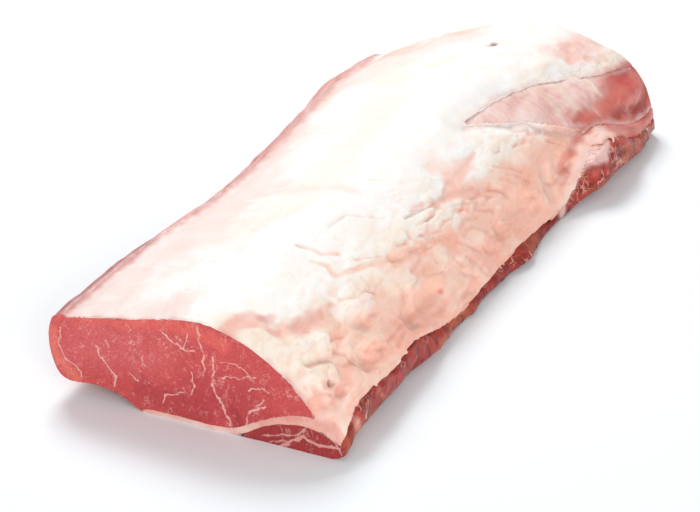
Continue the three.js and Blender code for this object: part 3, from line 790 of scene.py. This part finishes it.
def sliced_finish():
    """The lean at a cut, with its grain and marbling."""
    finish = flesh_finish("sliced_lean", 0.12)
    grain = finish.noise(1.3, detail=4, rough=0.6)
    colour = finish.tinted(finish.step(grain, 0.4, 0.7) * 0.75, finish.coat(), GRAINED)
    deep = finish.step(finish.noise(2.6, detail=3, distortion=0.6), 0.52, 0.72)
    colour = finish.tinted(deep * 0.55, colour, DEEPENED)
    flecks = finish.flecks(7, 0.016, 8, 0.50, 0.60) * 0.6
    flecks = flecks.most(finish.flecks(4, 0.03, 5, 0.54, 0.62) * 0.45)
    colour = finish.mix(flecks, colour, FLECK)
    broken = finish.step(finish.noise(2.4, detail=2), 0.30, 0.55)
    drawn = finish.veins(FACE_VEINS) * finish.near_end() * (0.25 + 0.6 * broken)
    colour = finish.mix(drawn, colour, VEIN)
    height = grain * 0.6 + finish.noise(5, detail=2) + drawn * 0.5
    roughness = 0.24 + 0.2 * finish.noise(3, detail=3)
    return finish.connect(Base_Color=colour, Roughness=roughness, Normal=finish.bump(height, 0.35))


def chain_finish():
    """The darker side muscle, with threads of fat. The coat's mask says where no fat is left on it."""
    finish = flesh_finish("side_muscle", 0.1)
    raw = finish.coat("Alpha")
    patches = finish.noise(7, detail=4, distortion=1.0)
    colour = finish.tinted(finish.step(patches, 0.36, 0.62) * raw, finish.coat(), DARKENED)
    shreds = finish.flecks(9, 0.03, 16, 0.46, 0.6) * raw * 0.6
    colour = finish.mix(shreds, colour, SHRED)
    height = patches * 1.5 + finish.noise(1.6, detail=3) * 0.5
    roughness = 0.24 + 0.22 * finish.noise(4)
    return finish.connect(Base_Color=colour, Roughness=roughness, Normal=finish.bump(height, 0.9))


def sliced_chain_finish():
    """The side muscle at a cut."""
    finish = flesh_finish("sliced_side_muscle", 0.1)
    grain = finish.noise(1.6, detail=3)
    colour = finish.tinted(finish.step(grain, 0.42, 0.7) * 0.6, finish.coat(), SIDE_GRAINED)
    drawn = finish.veins(CHAIN_VEINS) * finish.near_end()
    drawn = drawn.most(finish.flecks(6, 0.03, 7, 0.48, 0.6) * 0.6)
    colour = finish.mix(drawn * 0.75, colour, THREAD)
    height = grain + finish.noise(5, detail=2) + drawn * 0.8
    roughness = 0.24 + 0.2 * finish.noise(3, detail=3)
    return finish.connect(Base_Color=colour, Roughness=roughness, Normal=finish.bump(height, 0.5))


# The pieces

def near_stand(points):
    """Where the sliced face stands: a little hollow in the middle, and uneven."""
    inside = 1 - smooth(np.hypot(points[:, 1] / 75, (points[:, 2] - 25) / 26), 0.2, 1.0)
    return FACE - 1.1 * inside + 0.35 * rolling(points, 14, 11) + 0.12 * rolling(points, 5, 12)


def far_stand(points):
    """Where the far cut stands."""
    return far_end(points[:, 1]) + 0.8 * rolling(points, 16, 13) + 0.3 * rolling(points, 6, 14)


def cover_relief(points):
    """The cover's unevenness: quiet near the flank, lumpy on the thin side and at its near corner."""
    lively = 0.3 + 0.7 * smooth(-points[:, 1], 8, 42)
    corner = smooth(-points[:, 1], 10, 40) * smooth(-points[:, 0], 110, 165)
    ridges = 0.45 - np.abs(rolling(points, 12, 2, 1.9))
    lumps = 0.5 - np.abs(rolling(points, 7, 3, 1.3))
    ripples = 1.3 * ridges + 0.6 * rolling(points, 6, 4, 2.2) + 0.3 * rolling(points, 3.2, 5, 2.0)
    return 0.45 * rolling(points, 26, 1) + lively * ripples + 1.3 * corner * lumps


def shape_skins(fat, eye, chain, creases):
    """Makes the three skins uneven where they face outwards, and lets them touch everywhere."""
    points = places(fat)
    facing = outward(points, read(fat.data.vertices, "normal"))
    relief = cover_relief(points) + folded(points, FOLDS + SIDE_FOLDS + creases)
    swell(fat, CLOSE + facing * (relief - tuck(fat, chain)))
    points = places(eye)
    facing = outward(points, read(eye.data.vertices, "normal"))
    uneven = 0.45 * rolling(points, 11, 21) + 0.2 * rolling(points, 4.5, 22)
    swell(eye, CLOSE + facing * (uneven + folded(points, SIDE_FOLDS)))
    points = places(chain)
    facing = outward(points, read(chain.data.vertices, "normal"))
    ragged = 2.0 * rolling(points, 15, 31) + 0.9 * (0.5 - np.abs(rolling(points, 8, 32)))
    swell(chain, CLOSE + facing * (ragged + 0.5 * rolling(points, 3.5, 33) + folded(points, SIDE_FOLDS)))


def coat_fat(fat, bare, creases):
    """Paints the cover, a film of which shows the lean under it. The mask says where it is lively."""
    points = places(fat)
    lively = smooth(-points[:, 1], 8, 42)
    relief = cover_relief(points)
    ground = blended(all_over(WHITE, points), SALMON, 0.75 * lively * smooth(-points[:, 2], -48, -24))
    # Painted shade and highlight: salmon laid into the hollows of the relief, cream onto its ridges
    ground = blended(ground, SALMON, 0.5 * lively * smooth(-relief, 0.0, 0.9))
    ground = blended(ground, CREAM, 0.3 * lively * smooth(relief, 0.0, 0.8))
    colours = painted(points, ground, COVER_STROKES)
    # Painted shade: rose along the grooves of the short creases
    colours = painted(points, colours, [(ROSE, line, 1.4 * width, 0.5) for line, width, _ in creases])
    # Again painted shade in the hollows of the relief and painted highlight on its ridges
    colours = blended(colours, SALMON, 0.45 * lively * smooth(-relief, 0.1, 0.8))
    colours = blended(colours, CREAM, 0.35 * lively * smooth(relief, 0.3, 0.9))
    seam = smooth(-points[:, 2], -22, -17) * smooth(-points[:, 0], 197, 199)
    colours = blended(colours, ROSE, seam * (0.75 + 0.25 * rolling(points, 4, 62)))
    far_seam = smooth(points[:, 0], 126, 136) * smooth(-points[:, 1], 52, 60)
    colours = blended(colours, MEAT, far_seam * (0.65 + 0.25 * rolling(points, 5, 63, 2.0)))
    gaps = np.array([bare.find(Vector(p))[2] for p in points])
    film = 1 - smooth(gaps + 1.5 * rolling(points, 5, 61), 1.0, 6.0)
    colours = blended(colours, painted(points, all_over(SKIN, points), LEAN_STROKES), 0.6 * film)
    lay_coat(fat, colours, lively)


def coat_eye(eye, fat):
    """Paints the lean, with a veil of fat near the cover. The mask says where its fibres run across."""
    points = places(eye)
    cut = points_of(eye, sliced_faces(eye))[:, None]
    over = tree_of(fat)
    gaps = np.array([over.find_nearest(Vector(p))[3] for p in points])
    veil = 1 - smooth(gaps + 1.2 * rolling(points, 5, 64), 0.0, 4.0)
    skinned = blended(painted(points, all_over(SKIN, points), LEAN_STROKES), WHITE, 0.4 * veil)
    faced = painted(points, all_over(MEAT, points), FACE_STROKES)
    across = smooth(points[:, 0], 20, 60) * smooth(-points[:, 1], 10, 30)
    lay_coat(eye, np.where(cut, faced, skinned), across)


def coat_chain(chain):
    """Paints the side muscle. The mask says where no fat is left on it."""
    points = places(chain)
    brown = smooth(rolling(points, 17, 41, 1.6), -0.1, 0.35)
    colours = blended(BRICK, RUST, brown) * 1.2
    # Painted shade: darker towards the floor, where the muscle meets it
    colours = blended(colours, WINE, 0.6 * smooth(-points[:, 2], -7, -1))
    colours = painted(points, colours, CHAIN_STROKES)
    raw = 1 - smooth(colours[:, 1], 0.2, 0.5)
    cut = points_of(chain, sliced_faces(chain))[:, None]
    lay_coat(chain, np.where(cut, PLUM, colours), raw)


def set_up(piece, node, outer, cut):
    """Gives a finished skin its two materials, and tells the frame what it stands for."""
    piece.data.materials.clear()
    piece.data.materials.append(outer)
    piece.data.materials.append(cut)
    piece.data.polygons.foreach_set("material_index", sliced_faces(piece).astype(np.int32))
    only(piece)
    bpy.ops.object.shade_smooth_by_angle(angle=math.radians(SOFT_EDGE))
    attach(piece, "root")
    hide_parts(node)


fat = flesh("fat_cover", "fat", FAT_GRAIN)
eye = flesh("loin_eye", "eye", EYE_GRAIN)
chain = flesh("chain_muscle", "chain", CHAIN_GRAIN)
bare = feather(fat, eye)
creases = short_creases(fat)
shape_skins(fat, eye, chain, creases)

knives = [knife("near_knife", -40, near_stand), knife("far_knife", 90, far_stand)]
for piece in (fat, eye, chain):
    slice_ends(piece, knives)
for block in knives:
    bpy.data.objects.remove(block)

thin_hidden(eye, [fat, chain])
thin_hidden(fat, [eye, chain])
thin_hidden(chain, [fat])

coat_fat(fat, bare, creases)
coat_eye(eye, fat)
coat_chain(chain)

fat_coat = fat_finish()
set_up(fat, "fat_cover", fat_coat, fat_coat)
set_up(eye, "loin_eye", lean_finish(), sliced_finish())
set_up(chain, "chain_muscle", chain_finish(), sliced_chain_finish())


# The stage

def lay_floor():
    bpy.ops.mesh.primitive_plane_add(size=6)
    floor = bpy.context.object
    floor.name = "floor"
    paper = Finish("paper", Roughness=0.9, Base_Color=(0.905, 0.955, 0.985, 1))
    floor.data.materials.append(paper.material)


def set_camera():
    bpy.ops.object.camera_add()
    camera = bpy.context.object
    azimuth, elevation = math.radians(AZIMUTH), math.radians(ELEVATION)
    level = math.cos(elevation)
    back = Vector((math.sin(azimuth) * level, -math.cos(azimuth) * level, math.sin(elevation)))
    camera.location = Vector(AIM) * MM + back * (DISTANCE * MM)
    camera.rotation_euler = (-back).to_track_quat("-Z", "Y").to_euler()
    camera.data.lens = FOCAL / PHOTO_WIDTH * SENSOR
    camera.data.sensor_width = SENSOR
    bpy.context.scene.camera = camera


def softbox(name, place, aim, size, power):
    """A square light at a place in metres, turned to its aim."""
    bpy.ops.object.light_add(type="AREA", location=place)
    light = bpy.context.object
    light.name = name
    light.data.size = size
    light.data.energy = power
    light.rotation_euler = (Vector(aim) - Vector(place)).to_track_quat("-Z", "Y").to_euler()


def light_room(strength):
    """Even white light from all round."""
    room = bpy.data.worlds.new("studio")
    room.use_nodes = True
    background = room.node_tree.nodes["Background"]
    background.inputs["Color"].default_value = (1, 1, 1, 1)
    background.inputs["Strength"].default_value = strength
    bpy.context.scene.world = room


lay_floor()
set_camera()
softbox("key", (0.8, 0.8, 1.25), (0, 0, 0), 0.7, 21)
softbox("fill", (-1.5, -1.3, 0.6), (-0.1, 0, 0), 1.2, 24)
light_room(0.48)
bpy.context.scene.view_settings.view_transform = "Standard"
